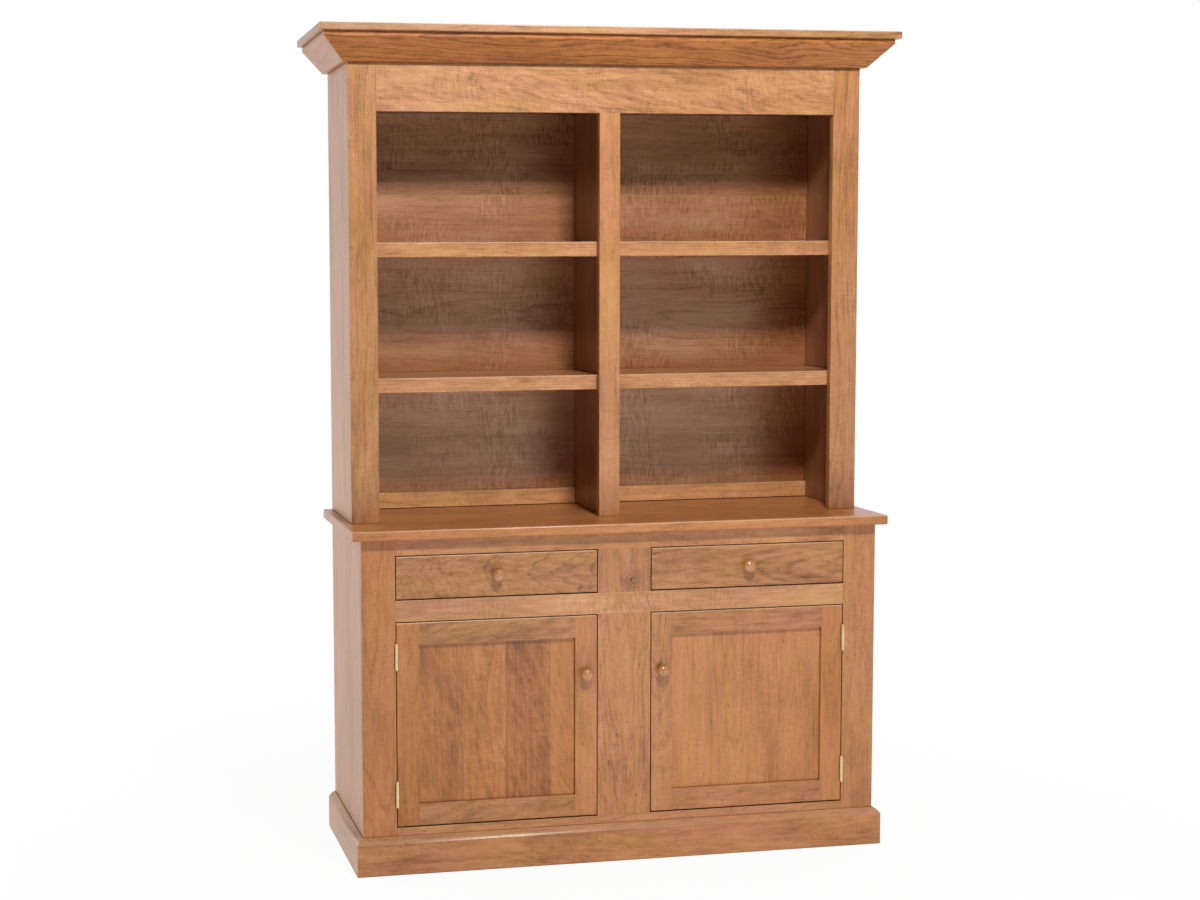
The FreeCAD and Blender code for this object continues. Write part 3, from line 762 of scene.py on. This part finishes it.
def set_lamps():
    """A key light above, a wide fill that satin wood mirrors, a low bounce and a lamp behind each side."""
    lamp("key", key_place, key_aim, key_size, key_power)
    lamp("fill", fill_place, fill_aim, fill_size, fill_power)
    bounce = lamp("bounce", bounce_place, bounce_aim, bounce_size, bounce_power)
    bounce.visible_glossy = False
    for name, way in (("left_lamp", -1), ("right_lamp", 1)):
        place = (way * side_lamp_place[0], *side_lamp_place[1:])
        aim = (way * side_lamp_aim[0], *side_lamp_aim[1:])
        lamp(name, place, aim, side_lamp_size, side_lamp_power)


def seen_straight(tree, path):
    """1 for what the camera sees straight or through glass, and 0 for the rest."""
    return maths(tree, "MAXIMUM", path["Is Camera Ray"], path["Is Transmission Ray"])


def set_room():
    """A room that looks white, but whose light and reflections are dim in front and bright behind."""
    world = bpy.data.worlds.new("room")
    world.use_nodes = True
    bpy.context.scene.world = world
    tree = world.node_tree
    way = add(tree, "ShaderNodeTexCoord").outputs["Generated"]
    depth = add(tree, "ShaderNodeSeparateXYZ", [(0, way)]).outputs["Y"]
    path = add(tree, "ShaderNodeLightPath").outputs
    glow = map_range(tree, depth, room_turn_share, 1.0, *room_light_shares)
    shine = map_range(tree, depth, room_turn_share, 1.0, *room_shine_shares)
    shine = maths(tree, "MULTIPLY", shine, path["Is Glossy Ray"])
    strength = maths(tree, "MAXIMUM", seen_straight(tree, path), maths(tree, "MAXIMUM", glow, shine))
    backdrop = tree.nodes["Background"]
    backdrop.inputs["Color"].default_value = opaque(white)
    tree.links.new(strength, backdrop.inputs["Strength"])


def floor_material():
    """A pale grey with faint shadows, which the camera sees as almost white, and white further away."""
    material, tree, shader = new_material("floor")
    spot = add(tree, "ShaderNodeTexCoord").outputs["Object"]
    clouds = noise(tree, spot, floor_cloud_size, plain_detail).outputs["Fac"]
    grey = fade(tree, clouds, floor_grey_fade_shares, *floor_grey_shares)
    tree.links.new(grey, shader.inputs["Base Color"])
    shader.inputs["Roughness"].default_value = floor_roughness
    shader.inputs["Specular IOR Level"].default_value = 0.0
    glow = add(tree, "ShaderNodeEmission", [("Color", opaque(white)), ("Strength", 1.0)])
    away = vectors(tree, "LENGTH", spot)
    faded = map_range(tree, away, *floor_fade, *floor_white_shares, "SMOOTHSTEP")
    path = add(tree, "ShaderNodeLightPath").outputs
    seen = maths(tree, "MAXIMUM", seen_straight(tree, path), path["Is Glossy Ray"])
    share = maths(tree, "MULTIPLY", seen, faded)
    blend = add(tree, "ShaderNodeMixShader", [(0, share), (1, shader.outputs[0]), (2, glow.outputs[0])])
    tree.links.new(blend.outputs[0], tree.nodes["Material Output"].inputs["Surface"])
    return material


def lay_floor():
    half = floor_span / 2
    corners = [(-half, -half, 0), (half, -half, 0), (half, half, 0), (-half, half, 0)]
    data = bpy.data.meshes.new("floor")
    data.from_pydata(corners, [], [range(len(corners))])
    floor = bpy.data.objects.new("floor", data)
    bpy.context.scene.collection.objects.link(floor)
    data.materials.append(floor_material())


bpy.context.scene.view_settings.view_transform = "Standard"
set_camera()
set_lamps()
set_room()
lay_floor()
dress_boards()
dress_hinges()
turn_knobs()
